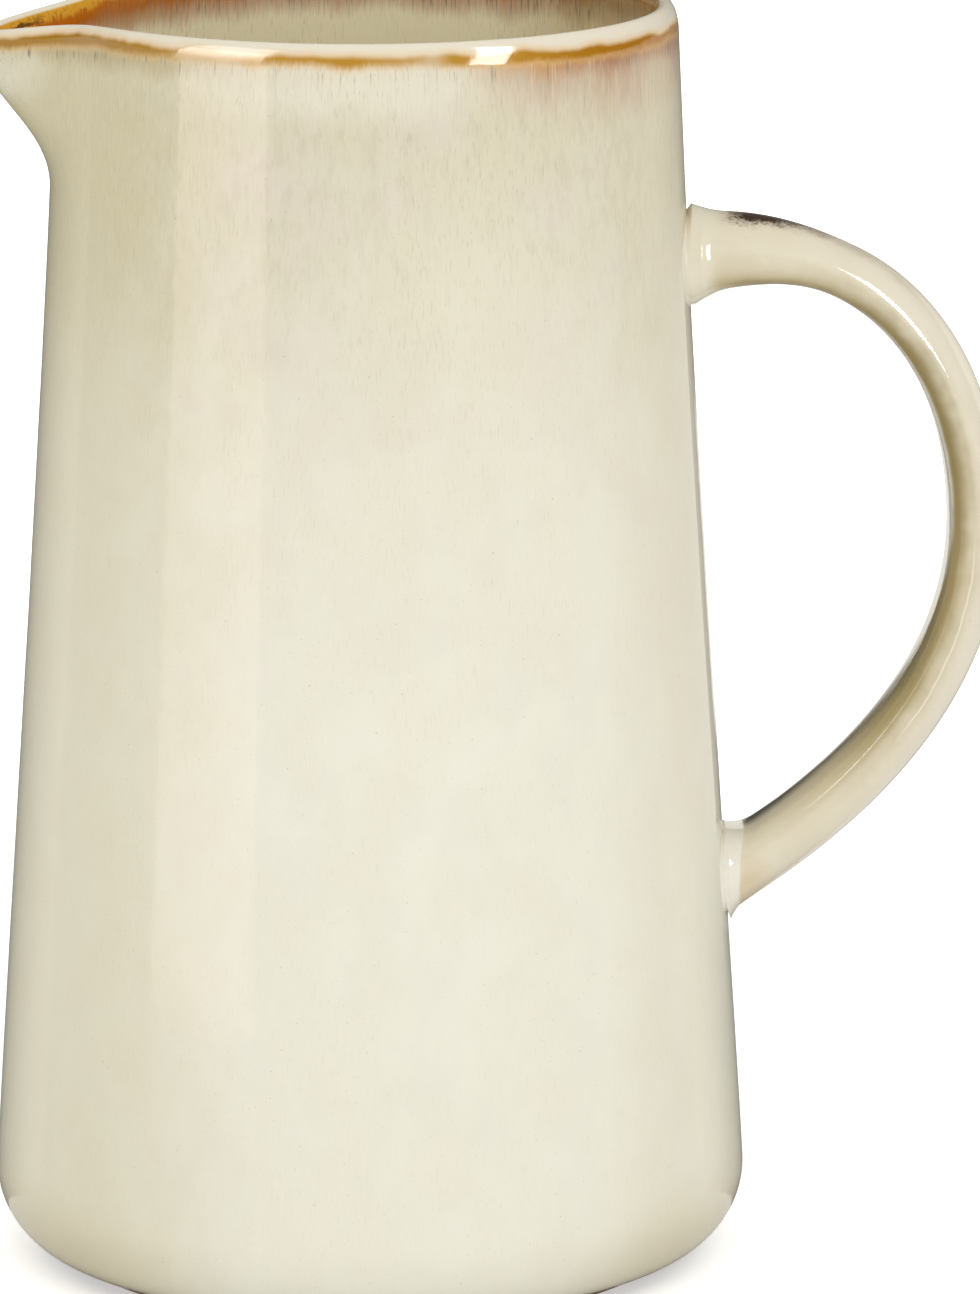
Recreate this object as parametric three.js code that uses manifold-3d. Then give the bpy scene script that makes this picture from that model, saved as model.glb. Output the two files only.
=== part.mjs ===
// A glazed stoneware jug: a slip-cast body with a drawn-out pouring lip and a foot ring, and a strap
// handle cast by itself, cut to the curve of the body and stuck on with a collar of slip at each end.
// Millimetres, +Z up, with the lip towards -X and the handle towards +X. The shapes are worked out
// from the axis of the round body, and the finished jug stands with the middle of its overall length
// over the origin.

import * as THREE from "three";
import { mergeVertices } from "three/addons/utils/BufferGeometryUtils.js";
import Module from "manifold-3d";

const wasm = await Module();
wasm.setup();

// Body, driving sizes
const height = 210; // table to the crest of the rim
const rimRadius = 50.8; // outside, at the top of the wall
const baseRadius = 62.4; // outside, where the wall meets the base corner
const wallHollow = 0.65; // how far the side bows in from a straight cone, a third of the way down
const wall = 4; // thickness of the wall, measured level
const rimRound = 4.8; // height of the rim's rounding on the outside
const rimRoundInside = 2.8; // and on the inside
const cornerHeight = 14; // height of the base corner above its start at the foot
const footRadius = 50.5; // outside of the foot ring
const footWidth = 5; // width of the bare ring that stands on the table
const footDraft = 0.8; // the ring's inner side leans in by this much
const footStep = 1.4; // upright edge of the foot ring under the base corner
const recess = 2; // depth of the hollow inside the foot ring
const floorThickness = 6; // floor of the jug over that hollow
const innerCorner = 10; // inside radius between wall and floor

// Pouring lip, driving sizes
const lipReach = 13.6; // how far the lip stands out from the round wall
const lipDepth = 30.5; // rim down to where the lip starts to leave the wall
const lipDip = 4.6; // how far the tip hangs below the rest of the rim
const lipSpread = 0.235; // half angle of the outside of the lip, in radians
const lipSpreadInside = 0.21; // half angle of its channel
const lipDipSpread = 0.245; // half angle over which the rim sinks to the tip

// Handle, driving sizes
const upperRootDrop = 42.7; // rim down to the middle of the upper joint
const lowerRootHeight = 63.3; // table up to the middle of the lower joint
const apexRise = 7.1; // the furthest point lies this far above the middle of the two joints
const fingerGap = 40.3; // clear room between the wall and the handle at its furthest point
const upperBend = 28; // how far the handle runs on out of the upper joint before it bends
const apexBend = 31.9; // how far it runs on past its furthest point, up and down
const lowerBend = 14; // how far it runs on out of the lower joint before it bends
const upperPitch = 0.203; // the upper joint points up by this angle, in radians
const lowerPitch = 0.59; // the lower joint points up by this angle, in radians
const upperThickness = 12.8; // handle thickness at the upper joint
const strapThickness = 8.2; // where it has thinned to the strap
const lowerThickness = 10.2; // and at the lower joint
const upperTaper = 26; // length over which the upper end thins to the strap
const apexWidth = 17.5; // handle width at its furthest point
const rootWidth = 19.5; // and at the joints
const innerShare = 0.45; // share of the thickness on the inner side of the widest line
const innerSquareness = 2.8; // superellipse power of the flatter inner side
const outerSquareness = 2; // and of the round outer side

// Slip collars, driving sizes
const collarThickness = 3.4; // from the wall to the cut end of the handle
const upperFlare = 1.6; // how far the upper collar spreads along the wall
const lowerFlare = 2.55; // how far the lower one spreads up the wall
const lowerFlareUnder = 1.4; // and down it
const flareLength = 7; // distance from the wall over which they spread
const flareLengthUnder = 2.2; // and the same under the lower collar
const collarEdge = 0.7; // closer to the wall than this they spread no further
const seam = 0.3; // clearance of each stuck joint

// How finely the faces are cut
const lipSector = 0.7; // half angle round the lip that is cut finely, in radians
const lipSteps = 28; // round the lip's sector
const roundSteps = 44; // round the rest of the body
const cornerSteps = 7; // up the base corner
const wallSteps = 4; // up the wall below the lip
const lipRings = 7; // up the wall beside the lip
const rimSteps = 4; // up each side of the rim
const floorSteps = 5; // down the inside corner
const envelopeSteps = 8; // up the wall where the handle is cut to it
const sectionSteps = 24; // round the handle
const pathSteps = 40; // along the handle
const rootSteps = 5; // along each of its ends, inside the wall

// Heights and radii that follow from the driving sizes
const cornerTop = footStep + cornerHeight;
const rimStart = height - rimRound;
const rimStartInside = height - rimRoundInside;
const floorTop = recess + floorThickness;
const lipRoot = height - lipDepth;
const footInner = footRadius - footWidth;

// Outside radius of the wall at a height, and how fast it widens on the way down.
function wallRadius(z) {
  const t = (height - z) / (height - cornerTop);
  const bow = (27 / 4) * t * (1 - t) ** 2;
  return rimRadius + (baseRadius - rimRadius) * t - wallHollow * bow;
}

function wallSlope(z) {
  const step = 0.5;
  return (wallRadius(z - step) - wallRadius(z + step)) / (2 * step);
}

// Numbers at even steps from one value up to, and without, another.
function evenSteps(from, to, steps) {
  return Array.from({ length: steps }, (_, i) => from + ((to - from) * i) / steps);
}

// Angles round the body, from the handle side and back to it, close together at the lip.
function roundAngles() {
  const lipStart = Math.PI - lipSector;
  const lipEnd = Math.PI + lipSector;
  return [
    ...evenSteps(0, lipStart, roundSteps / 2),
    ...evenSteps(lipStart, lipEnd, lipSteps),
    ...evenSteps(lipEnd, 2 * Math.PI, roundSteps / 2),
  ];
}

// One point of the body. The lip pushes it out and down: fully at the rim, not at all below its root.
// inside is 0 on the outer face and 1 on the inner face, whose channel is narrower and starts higher.
function bodyPoint(radius, z, inside, angle) {
  const root = lipRoot + (inside * wall) / 3;
  const lift = THREE.MathUtils.smoothstep(z, root, height);
  const spread = THREE.MathUtils.lerp(lipSpread, lipSpreadInside, inside);
  const aside = angle - Math.PI;
  const push = lipReach * Math.exp(-((aside / spread) ** 2)) * lift;
  const dip = (lipDip / (1 + (aside / lipDipSpread) ** 2)) * lift;
  const out = radius + push;
  return new THREE.Vector3(out * Math.cos(angle), out * Math.sin(angle), z - dip);
}

function bodyRing({ radius, z, inside }) {
  return roundAngles().map((angle) => bodyPoint(radius, z, inside, angle));
}

// Points of a 2D curve as profile points of one face of the body.
function along(curve, steps, inside) {
  return curve.getPoints(steps).map((p) => ({ radius: p.x, z: p.y, inside }));
}

// Quarter-round curve: leaves start along one direction and arrives at end along the other.
const quarterPull = 0.5523;
function quarterRound(start, startPull, end, endPull) {
  return new THREE.CubicBezierCurve(start, start.clone().add(startPull), end.clone().add(endPull), end);
}

const vec = (x, y) => new THREE.Vector2(x, y);

// Base corner, from the foot ring out and up into the wall.
function baseCorner() {
  const start = vec(footRadius, footStep);
  const end = vec(baseRadius, cornerTop);
  const rise = quarterPull * cornerHeight;
  const outPull = vec(quarterPull * (baseRadius - footRadius), 0);
  return quarterRound(start, outPull, end, vec(wallSlope(cornerTop) * rise, -rise));
}

// Inside corner, from the wall down onto the floor.
function floorCorner() {
  const top = floorTop + innerCorner;
  const start = vec(wallRadius(top) - wall, top);
  const end = vec(start.x - innerCorner, floorTop);
  const pull = quarterPull * innerCorner;
  return quarterRound(start, vec(wallSlope(top) * pull, -pull), end, vec(pull, 0));
}

// The wall between two heights, on its outer or inner face.
function wallFace(from, to, steps, inside) {
  const points = [];
  for (let i = 0; i <= steps; i++) {
    const z = THREE.MathUtils.lerp(from, to, i / steps);
    points.push({ radius: wallRadius(z) - inside * wall, z, inside });
  }
  return points;
}

// From a face of the wall up and over to the crest of the rim.
function overTheRim(start) {
  const crest = vec(wallRadius(height) - wall / 2, height);
  const rise = quarterPull * (crest.y - start.y);
  const reach = quarterPull * (start.x - crest.x);
  return quarterRound(start, vec(-wallSlope(start.y) * rise, rise), crest, vec(reach, 0));
}

// The rounded rim, over from the outer face to the inner one, without its first and last point.
function rimEdge() {
  const outer = overTheRim(vec(wallRadius(rimStart), rimStart)).getPoints(rimSteps);
  const inner = overTheRim(vec(wallRadius(rimStartInside) - wall, rimStartInside)).getPoints(rimSteps);
  const across = [...outer, ...inner.reverse().slice(1)];
  return across.map((p, i) => ({ radius: p.x, z: p.y, inside: i / (2 * rimSteps) })).slice(1, -1);
}

// The whole section of the body: from the middle of its underside, over the rim, to its floor.
function bodyProfile() {
  return [
    { radius: 0, z: recess, inside: 0 },
    { radius: footInner - footDraft, z: recess, inside: 0 },
    { radius: footInner, z: 0, inside: 0 },
    { radius: footRadius, z: 0, inside: 0 },
    ...along(baseCorner(), cornerSteps, 0),
    ...wallFace(cornerTop, lipRoot, wallSteps, 0).slice(1),
    ...wallFace(lipRoot, rimStart, lipRings, 0).slice(1),
    ...rimEdge(),
    ...wallFace(rimStartInside, lipRoot, lipRings, 1),
    ...wallFace(lipRoot, floorTop + innerCorner, wallSteps, 1).slice(1),
    ...along(floorCorner(), floorSteps, 1).slice(1),
    { radius: 0, z: floorTop, inside: 1 },
  ];
}

// Closed solid through rings of as many points each. A ring of one repeated point is a pole, and any
// other end is closed by a fan from its middle.
function loft(rings) {
  const count = rings[0].length;
  const points = [];
  const faces = [];
  const middleOf = (ring) =>
    ring.reduce((sum, p) => sum.add(p), new THREE.Vector3()).divideScalar(ring.length);
  const isPole = (ring) => ring[0].distanceTo(ring[1]) < 1e-6;
  const body = rings.filter((ring) => !isPole(ring));
  body.forEach((ring) => points.push(...ring));
  for (let k = 0; k + 1 < body.length; k++) {
    for (let i = 0; i < count; i++) {
      const here = k * count + i;
      const next = k * count + ((i + 1) % count);
      faces.push(here, next, next + count, here, next + count, here + count);
    }
  }
  points.push(middleOf(rings[0]), middleOf(rings.at(-1)));
  const first = points.length - 2;
  const lastRing = (body.length - 1) * count;
  for (let i = 0; i < count; i++) {
    const next = (i + 1) % count;
    faces.push(first, next, i, first + 1, lastRing + i, lastRing + next);
  }
  return new THREE.BufferGeometry().setFromPoints(points).setIndex(faces);
}

// Between three.js geometry and a solid that can be cut.
function solidOf(geometry) {
  const merged = mergeVertices(geometry, 1e-4);
  const vertProperties = new Float32Array(merged.getAttribute("position").array);
  const triVerts = new Uint32Array(merged.index.array);
  return new wasm.Manifold(new wasm.Mesh({ numProp: 3, vertProperties, triVerts }));
}

function geometryOf(solid) {
  const mesh = solid.getMesh();
  const geometry = new THREE.BufferGeometry();
  geometry.setAttribute("position", new THREE.BufferAttribute(mesh.vertProperties, 3));
  geometry.setIndex(new THREE.BufferAttribute(mesh.triVerts, 1));
  geometry.computeVertexNormals();
  return geometry;
}

// All the room inside the outer face of the wall, grown by an offset, on the same facets as the wall.
function wallEnvelope(offset) {
  const angles = roundAngles();
  const side = wallFace(cornerTop, rimStart, envelopeSteps, 0);
  const rings = side.map(({ radius, z }) =>
    angles.map((angle) => {
      const out = radius + offset;
      return new THREE.Vector3(out * Math.cos(angle), out * Math.sin(angle), z);
    }),
  );
  return solidOf(loft(rings));
}

// Middle line of the handle, in the plane of the lip, from wall to wall.
function handlePath() {
  const upperZ = height - upperRootDrop;
  const lowerZ = lowerRootHeight;
  const apexZ = (upperZ + lowerZ) / 2 + apexRise;
  const innerDepth = innerShare * ((strapThickness + lowerThickness) / 2);
  const point = (x, z) => new THREE.Vector3(x, 0, z);
  const upper = point(wallRadius(upperZ), upperZ);
  const apex = point(wallRadius(apexZ) + fingerGap + innerDepth, apexZ);
  const lower = point(wallRadius(lowerZ), lowerZ);
  const upperPull = point(Math.cos(upperPitch), Math.sin(upperPitch)).multiplyScalar(upperBend);
  const lowerPull = point(Math.cos(lowerPitch), Math.sin(lowerPitch)).multiplyScalar(lowerBend);
  const apexPull = point(0, apexBend);
  const path = new THREE.CurvePath();
  const addCurve = (...points) => path.add(new THREE.CubicBezierCurve3(...points));
  addCurve(upper, upper.clone().add(upperPull), apex.clone().add(apexPull), apex);
  addCurve(apex, apex.clone().sub(apexPull), lower.clone().add(lowerPull), lower);
  return path;
}

// Distances along the handle at which it gets a section. Both ends run on into the wall, and the steps
// lie closer together towards the joints, where the form spreads.
function handleDistances(length) {
  const turns = evenSteps(0, Math.PI, pathSteps);
  return [
    ...evenSteps(-wall, 0, rootSteps),
    ...turns.map((turn) => (length * (1 - Math.cos(turn))) / 2),
    ...evenSteps(length, length + lowerThickness, rootSteps),
    length + lowerThickness,
  ];
}

// Thickness and width of the handle at a distance from its upper joint.
function handleSize(distance, length) {
  const share = THREE.MathUtils.clamp(distance / length, 0, 1);
  const swell = THREE.MathUtils.smoothstep(upperTaper - distance, 0, upperTaper);
  const plain = THREE.MathUtils.lerp(strapThickness, lowerThickness, share);
  const thickness = plain + (upperThickness - strapThickness) * swell;
  const width = apexWidth + (rootWidth - apexWidth) * (2 * share - 1) ** 2;
  return { thickness, width };
}

// One point of the handle's section: x is across the handle, y away from the fingers.
function sectionPoint(turn, width, thickness) {
  const outer = Math.sin(turn) >= 0;
  const power = 2 / (outer ? outerSquareness : innerSquareness);
  const depth = thickness * (outer ? 1 - innerShare : innerShare);
  const bend = (value) => Math.sign(value) * Math.abs(value) ** power;
  return vec((width / 2) * bend(Math.cos(turn)), depth * bend(Math.sin(turn)));
}

// How far the two collars spread along the wall on their upper and lower sides, and from how far off.
const upperCollar = {
  above: { flare: upperFlare, length: flareLength },
  below: { flare: upperFlare, length: flareLength },
};
const lowerCollar = {
  above: { flare: lowerFlare, length: flareLength },
  below: { flare: lowerFlareUnder, length: flareLengthUnder },
};

// Moves a point of the handle along the wall, away from the section's middle: most of all at the wall.
function spreadAtWall(point, side, collar) {
  const away = Math.hypot(point.x, point.y) - wallRadius(point.z);
  const spreadOf = ({ flare, length }) =>
    flare * THREE.MathUtils.clamp((length - away) / (length - collarEdge), 0, 1) ** 2;
  const alongWall = side.clone().setX(0).normalize();
  const above = (1 + alongWall.z) / 2;
  const spread = THREE.MathUtils.lerp(spreadOf(collar.below), spreadOf(collar.above), above);
  return point.addScaledVector(alongWall, spread);
}

// The handle with both its collars as one swept form that runs on into the wall.
function handleSweep() {
  const path = handlePath();
  const length = path.getLength();
  const across = new THREE.Vector3(0, 1, 0);
  const rings = handleDistances(length).map((distance) => {
    const share = THREE.MathUtils.clamp(distance / length, 0, 1);
    const tangent = path.getTangentAt(share);
    const middle = path.getPointAt(share).addScaledVector(tangent, distance - share * length);
    const outward = new THREE.Vector3().crossVectors(tangent, across);
    const { thickness, width } = handleSize(distance, length);
    const collar = share < 0.5 ? upperCollar : lowerCollar;
    const ring = [];
    for (let i = 0; i < sectionSteps; i++) {
      const p = sectionPoint((2 * Math.PI * i) / sectionSteps, width, thickness);
      const side = new THREE.Vector3().addScaledVector(across, p.x).addScaledVector(outward, p.y);
      const point = middle.clone().add(side);
      ring.push(spreadAtWall(point, side, collar));
    }
    return ring;
  });
  return solidOf(loft(rings));
}

// Finishes
const creamGlaze = { color: 0xded6bf, roughness: 0.18, metalness: 0 };
const handleGlaze = { color: 0xd9cdb0, roughness: 0.2, metalness: 0 };
const slipGlaze = { color: 0xe6dfca, roughness: 0.2, metalness: 0 };

function piece(name, geometry, finish) {
  const mesh = new THREE.Mesh(geometry, new THREE.MeshStandardMaterial(finish));
  mesh.name = name;
  return mesh;
}

const jug = new THREE.Group();
jug.add(piece("body", loft(bodyProfile().map(bodyRing)), creamGlaze));

const sweep = handleSweep();
const cutEnd = wallEnvelope(seam + collarThickness + seam);
jug.add(piece("handle", geometryOf(sweep.subtract(cutEnd)), handleGlaze));

// The collars are what is left of the sweep between the wall and the cut ends of the handle.
const collarRoom = wallEnvelope(seam + collarThickness).subtract(wallEnvelope(seam));
const collars = sweep.intersect(collarRoom).decompose();
const collarHeight = (solid) => (solid.boundingBox().min[2] + solid.boundingBox().max[2]) / 2;
collars.sort((a, b) => collarHeight(b) - collarHeight(a));
jug.add(piece("upper_collar", geometryOf(collars[0]), slipGlaze));
jug.add(piece("lower_collar", geometryOf(collars[1]), slipGlaze));

jug.position.x = -new THREE.Box3().setFromObject(jug).getCenter(new THREE.Vector3()).x;

export default jug;
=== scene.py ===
import math
from collections import namedtuple

import bpy
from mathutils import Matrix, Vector


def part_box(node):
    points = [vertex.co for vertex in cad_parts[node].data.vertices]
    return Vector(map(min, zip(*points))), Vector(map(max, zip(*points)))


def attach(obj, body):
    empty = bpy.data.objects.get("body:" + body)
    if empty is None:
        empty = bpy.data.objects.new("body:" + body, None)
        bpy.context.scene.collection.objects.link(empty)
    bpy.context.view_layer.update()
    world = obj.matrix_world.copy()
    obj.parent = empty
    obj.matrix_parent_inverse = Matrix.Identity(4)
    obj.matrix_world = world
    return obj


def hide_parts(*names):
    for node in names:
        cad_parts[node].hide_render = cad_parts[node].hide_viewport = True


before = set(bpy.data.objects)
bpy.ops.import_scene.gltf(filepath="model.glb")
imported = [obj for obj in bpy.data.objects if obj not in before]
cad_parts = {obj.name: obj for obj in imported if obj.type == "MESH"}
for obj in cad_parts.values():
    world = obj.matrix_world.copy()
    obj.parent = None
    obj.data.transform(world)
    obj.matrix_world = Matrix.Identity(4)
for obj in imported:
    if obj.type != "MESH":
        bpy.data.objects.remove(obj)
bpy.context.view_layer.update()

MM = 0.001
MM_PER_METRE = 1000.0

# Body, in metres
HEIGHT = 210 * MM
RIM_RADIUS = 50.8 * MM
BASE_RADIUS = 62.4 * MM
WALL_HOLLOW = 0.65 * MM
WALL = 4 * MM
RIM_ROUND = 4.8 * MM
RIM_ROUND_INSIDE = 2.8 * MM
CORNER_HEIGHT = 14 * MM
FOOT_RADIUS = 50.5 * MM
FOOT_WIDTH = 5 * MM
FOOT_DRAFT = 0.8 * MM
FOOT_STEP = 1.4 * MM
FOOT_ROUND = 0.5 * MM
RECESS = 2 * MM
FLOOR_THICKNESS = 6 * MM
INNER_CORNER = 10 * MM
CORNER_TOP = FOOT_STEP + CORNER_HEIGHT
RIM_START = HEIGHT - RIM_ROUND
RIM_START_INSIDE = HEIGHT - RIM_ROUND_INSIDE
FLOOR_TOP = RECESS + FLOOR_THICKNESS
FOOT_INNER = FOOT_RADIUS - FOOT_WIDTH
FOOT_BARE = 0.3 * MM

# The wall's slight unevenness, with its grains counted per metre. It fades towards the foot and the axis.
WOBBLE = 0.12 * MM
WOBBLE_GRAINS = 30.0
WOBBLE_FROM = 4 * MM
WOBBLE_FULL = 30 * MM
WOBBLE_REACH = 40 * MM

# How fine the body is: columns round it, and steps along each stretch of its section
BODY_TURNS = 384
UNDERSIDE_STEPS = 8
FOOT_STEPS = 4
BASE_CORNER_STEPS = 26
WALL_STEPS = 44
LIP_STEPS = 22
OUTER_RIM_STEPS = 18
INNER_RIM_STEPS = 14
INNER_WALL_STEPS = 36
FLOOR_CORNER_STEPS = 14
FLOOR_STEPS = 10

# Pull of a curve's control points that makes a quarter round, and 1 / the highest value of t * (1 - t) ** 2
QUARTER_PULL = 0.5523
HOLLOW_SCALE = 27 / 4

SHARP_ANGLE = math.radians(50)
MERGE_DISTANCE = 1e-6

# Pouring lip, with its spreads in radians
LIP_REACH = 13.6 * MM
LIP_DEPTH = 30.5 * MM
LIP_DIP = 4.6 * MM
LIP_SPREAD = 0.235
LIP_SPREAD_INSIDE = 0.21
LIP_DIP_SPREAD = 0.245

# Handle, with its pitches in radians
UPPER_ROOT = HEIGHT - 42.7 * MM
LOWER_ROOT = 63.3 * MM
APEX_RISE = 7.1 * MM
FINGER_GAP = 40.3 * MM
UPPER_BEND = 28 * MM
APEX_BEND = 31.9 * MM
LOWER_BEND = 14 * MM
UPPER_PITCH = 0.203
LOWER_PITCH = 0.59
UPPER_THICKNESS = 12.8 * MM
STRAP_THICKNESS = 8.2 * MM
LOWER_THICKNESS = 10.2 * MM
UPPER_TAPER = 26 * MM
APEX_WIDTH = 17.5 * MM
ROOT_WIDTH = 19.5 * MM
INNER_SHARE = 0.45
INNER_SQUARENESS = 3.4
OUTER_SQUARENESS = 1.85
SECTION_TURNS = 96
LINE_STEPS = 400
HANDLE_STEPS = 220

# Slip collars. On its outer and inner side each spreads along the wall, from a length away from it up to a
# sharp edge, and has a notch behind the edge on the outer side. Across, it spreads up to a soft edge, swells
# behind it and ends in a fillet onto the wall.
Collar = namedtuple("Collar", "outer_flare outer_length inner_flare inner_length edge notch "
                              "side_flare side_length side_edge swell fillet fillet_edge")
UPPER_COLLAR = Collar(1.6 * MM, 7 * MM, 1.6 * MM, 7 * MM, 0.95 * MM, 1.15 * MM,
                      0.85 * MM, 4.97 * MM, 2.8 * MM, 0.35 * MM, 1.2 * MM, 0.35 * MM)
LOWER_COLLAR = Collar(1.4 * MM, 2.2 * MM, 2.55 * MM, 7 * MM, 0.45 * MM, 3 * MM,
                      1 * MM, 5 * MM, 1.3 * MM, 0.25 * MM, 1.2 * MM, 0.3 * MM)
COLLAR_END = 4 * MM
SINK = 0.6 * MM
LEAN_LENGTH = 16 * MM
SINK_STEPS = 2
EDGE_STEPS = 10
COLLAR_STEPS = 26
HALVINGS = 50

# The pale slip at the handle's lower end stops along a slant, in millimetres from the wall
LOWER_AWAY_SHARE = 0.86
SLIP_AWAY = 2.95
SLIP_SLANT = 1.15

# Camera, from the photograph's lines of sight
PHOTO_HEIGHT = 1294
FOCAL_PIXELS = 9251
SENSOR = 36
CAMERA_ASIDE = 0.27 * MM
CAMERA_BACK = 1500 * MM
CAMERA_HEIGHT = 422.7 * MM
CAMERA_PITCH = math.radians(12.073)
CAMERA_YAW = math.radians(0.757)

# Gloss of the glaze and the clay
ROUGHNESS = 0.06
PATCH_ROUGHNESS = 0.03
SPECK_ROUGHNESS = 0.12
RIPPLE_STRENGTH = 0.12
RIPPLE_HEIGHT = 0.2 * MM
GLAZE_IOR = 1.5
CLAY_ROUGHNESS = 0.85
CLAY_GRAIN_STRENGTH = 0.5
CLAY_GRAIN_HEIGHT = 0.3 * MM

# Studio, in metres, and in degrees from the front towards +X
AIM_HEIGHT = 0.1
FRONT = 0.3
FLOOR_SIZE = 8.0
FLOOR_COLOUR = (0.86, 0.86, 0.85, 1)
SHADOW_REACH = 0.15
WHITE_REACH = 0.6
SHADOW_GLOW = 0.45
WORLD_LIGHT = 0.9
SEEN_RAYS = ("Is Camera Ray", "Is Glossy Ray", "Is Transmission Ray")
WHITE = (1, 1, 1, 1)
WARM = (1, 0.88, 0.82, 1)
PALE = (1, 0.96, 0.9, 1)
FLAG_TONE = (1, 0.97, 0.9, 1)
LEFT_REACH = 0.42
LEFT_FADE = math.radians(1.2)
STRIP_TOP = 0.25
HEAD_TOP = 0.4
HEAD_GLOW = 11.0
FLAG_GLOW = 0.15
EDGE_FLAG_REACH = 65 * MM
EDGE_FLAG_BACK = 15 * MM
CEILING_SIZE = 9.8
CEILING_HEIGHT = 1.5
FLAG_REACH = 3.9
FLAG_AZIMUTHS = (-75, -45, -15, 15, 45, 75, 105, 140)
FLAG_BOTTOM = 0.48
SIDE_FLAG_BOTTOM = 0.22
SIDE_AZIMUTH = 75

# The card behind the handle and its two light windows: where each fade starts and ends
BACK_FADE_OUT = (40 * MM, 300 * MM)
BACK_FADE_TOP = (205 * MM, 220 * MM)
HANDLE_WINDOW_LEFT = (48 * MM, 58 * MM)
HANDLE_WINDOW_RIGHT = (92 * MM, 98 * MM)
HANDLE_WINDOW_BOTTOM = (50 * MM, 62 * MM)
HANDLE_WINDOW_TOP = (108 * MM, 122 * MM)
LOW_WINDOW_RIGHT = (20 * MM, 34 * MM)
LOW_WINDOW_TOP = (70 * MM, 84 * MM)

# The card before the handle
GAP_LEAN = 6 * MM
GAP_EDGE = (-5 * MM, 19 * MM)
GAP_DARK = 0.2
GAP_LOW_FADE = 40 * MM
GAP_HIGH_FADE = 25 * MM
GAP_SHARE = 0.9

# The bright card at the right. Each corner is an azimuth, a distance from the axis and a height.
WINDOW_GLOW = 18.0
WINDOW_CORNERS = [(36.25, 1.04, 0.316), (50.4, 1.045, 0.276), (62.5, 1.06, 1.033), (50.85, 1.046, 1.38)]

body_low, body_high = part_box("body")
AXIS_X = body_high.x - (body_high.y - body_low.y) / 2


# Numbers that nodes work out

class Field:
    """A value worked out by a tree's nodes, so that a rule can be written as a formula."""

    def __init__(self, tree, socket):
        self.tree = tree
        self.socket = socket

    def __add__(self, other):
        return calc("ADD", self, other)

    def __radd__(self, other):
        return calc("ADD", other, self)

    def __sub__(self, other):
        return calc("SUBTRACT", self, other)

    def __rsub__(self, other):
        return calc("SUBTRACT", other, self)

    def __mul__(self, other):
        return calc("MULTIPLY", self, other)

    def __rmul__(self, other):
        return calc("MULTIPLY", other, self)

    def __truediv__(self, other):
        return calc("DIVIDE", self, other)

    def __rtruediv__(self, other):
        return calc("DIVIDE", other, self)

    def __pow__(self, other):
        return calc("POWER", self, other)

    def __neg__(self):
        return calc("MULTIPLY", self, -1)


def feed(tree, slot, value):
    if isinstance(value, Field):
        tree.links.new(value.socket, slot)
    else:
        slot.default_value = value


def add_node(tree, kind, settings=(), **inputs):
    """A node with its settings and its inputs, which are named as on the node with _ for a space."""
    node = tree.nodes.new(kind)
    for name, value in dict(settings).items():
        setattr(node, name, value)
    for name, value in inputs.items():
        feed(tree, node.inputs[name.replace("_", " ")], value)
    return node


def add_field(tree, kind, settings=(), **inputs):
    """The first result of a new node."""
    return Field(tree, add_node(tree, kind, settings, **inputs).outputs[0])


def calc(operation, *values):
    tree = next(v.tree for v in values if isinstance(v, Field))
    node = tree.nodes.new("ShaderNodeMath")
    node.operation = operation
    for slot, value in zip(node.inputs, values):
        feed(tree, slot, value)
    return Field(tree, node.outputs[0])


def step_up(value, low, high, start=0.0, end=1.0):
    """Rises smoothly from start to end as the value goes from low to high."""
    node = value.tree.nodes.new("ShaderNodeMapRange")
    node.interpolation_type = "SMOOTHSTEP"
    for slot, number in zip(node.inputs, (value, low, high, start, end)):
        feed(value.tree, slot, number)
    return Field(value.tree, node.outputs[0])


def step_down(value, low, high):
    return step_up(value, low, high, 1.0, 0.0)


def split(vector):
    node = add_node(vector.tree, "ShaderNodeSeparateXYZ", Vector=vector)
    return [Field(vector.tree, out) for out in node.outputs]


def join(tree, x, y, z):
    return add_field(tree, "ShaderNodeCombineXYZ", X=x, Y=y, Z=z)


# Geometry trees

def shape_tree(name, floats, integers=(), materials=()):
    """An empty geometry tree with named sizes. Returns the tree and its inputs as fields."""
    tree = bpy.data.node_groups.new(name, "GeometryNodeTree")
    kinds = [("Line", "NodeSocketGeometry")]
    kinds += [(n, "NodeSocketFloat") for n in floats]
    kinds += [(n, "NodeSocketInt") for n in integers]
    kinds += [(n, "NodeSocketMaterial") for n in materials]
    for label, kind in kinds:
        tree.interface.new_socket(label, in_out="INPUT", socket_type=kind)
    tree.interface.new_socket("Shape", in_out="OUTPUT", socket_type="NodeSocketGeometry")
    entry = tree.nodes.new("NodeGroupInput")
    return tree, {label: Field(tree, entry.outputs[label]) for label, _ in kinds}


def sheet_of_rings(tree, line, columns):
    """A grid with one row for each point of the line. Returns it with its row and column numbers."""
    size = add_node(tree, "GeometryNodeAttributeDomainSize", Geometry=line)
    rows = Field(tree, size.outputs["Point Count"])
    across = columns + 1
    grid = add_field(tree, "GeometryNodeMeshGrid", Vertices_X=rows, Vertices_Y=across)
    index = add_field(tree, "GeometryNodeInputIndex")
    row = calc("FLOOR", (index + 0.5) / across)
    return grid, row, index - row * across


def read_line(tree, line, row, name=None):
    """A value of the line at a row: its position, or a number that its points carry under a name."""
    if name:
        kind = "FLOAT"
        value = add_field(tree, "GeometryNodeInputNamedAttribute", {"data_type": kind}, Name=name)
    else:
        kind = "FLOAT_VECTOR"
        value = add_field(tree, "GeometryNodeInputPosition")
    return add_field(tree, "GeometryNodeSampleIndex", {"data_type": kind, "clamp": True},
                     Geometry=line, Value=value, Index=row)


def keep_number(tree, shape, name, value):
    return add_field(tree, "GeometryNodeStoreNamedAttribute", {"data_type": "FLOAT", "domain": "POINT"},
                     Geometry=shape, Name=name, Value=value)


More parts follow.
